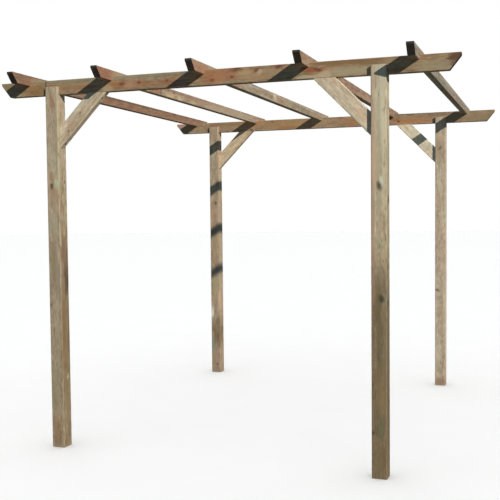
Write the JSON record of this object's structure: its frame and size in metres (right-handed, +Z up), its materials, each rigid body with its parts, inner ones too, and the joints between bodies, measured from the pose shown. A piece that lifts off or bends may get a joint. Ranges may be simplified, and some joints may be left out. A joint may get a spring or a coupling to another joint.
{
  "type": "wooden garden pergola",
  "caption": "Open timber frame: square posts, beams let into the post heads, knee braces, and rafters notched over the beams with splayed ends.",
  "frame": {"origin": "on the ground, under the middle of the beams and rafters", "axes": "+X along the beams to the right, +Y along the rafters to the back, +Z up"},
  "size_m": [3, 3, 2.444],
  "materials": {
    "post_wood": "planed, pressure-treated softwood, weathered olive tan",
    "beam_wood": "planed, pressure-treated softwood, olive brown",
    "rafter_wood": "planed, pressure-treated softwood, reddish brown",
    "brace_wood": "planed, pressure-treated softwood, pale tan"
  },
  "bodies": {
    "root": {"front_left_post": "post_wood", "front_right_post": "post_wood", "back_left_post": "post_wood", "back_right_post": "post_wood", "front_beam": "beam_wood", "back_beam": "beam_wood", "rafter_1": "rafter_wood", "rafter_2": "rafter_wood", "rafter_3": "rafter_wood", "rafter_4": "rafter_wood", "rafter_5": "rafter_wood", "front_left_brace": "brace_wood", "front_right_brace": "brace_wood", "back_left_brace": "brace_wood", "back_right_brace": "brace_wood"}
  },
  "joints": []
}
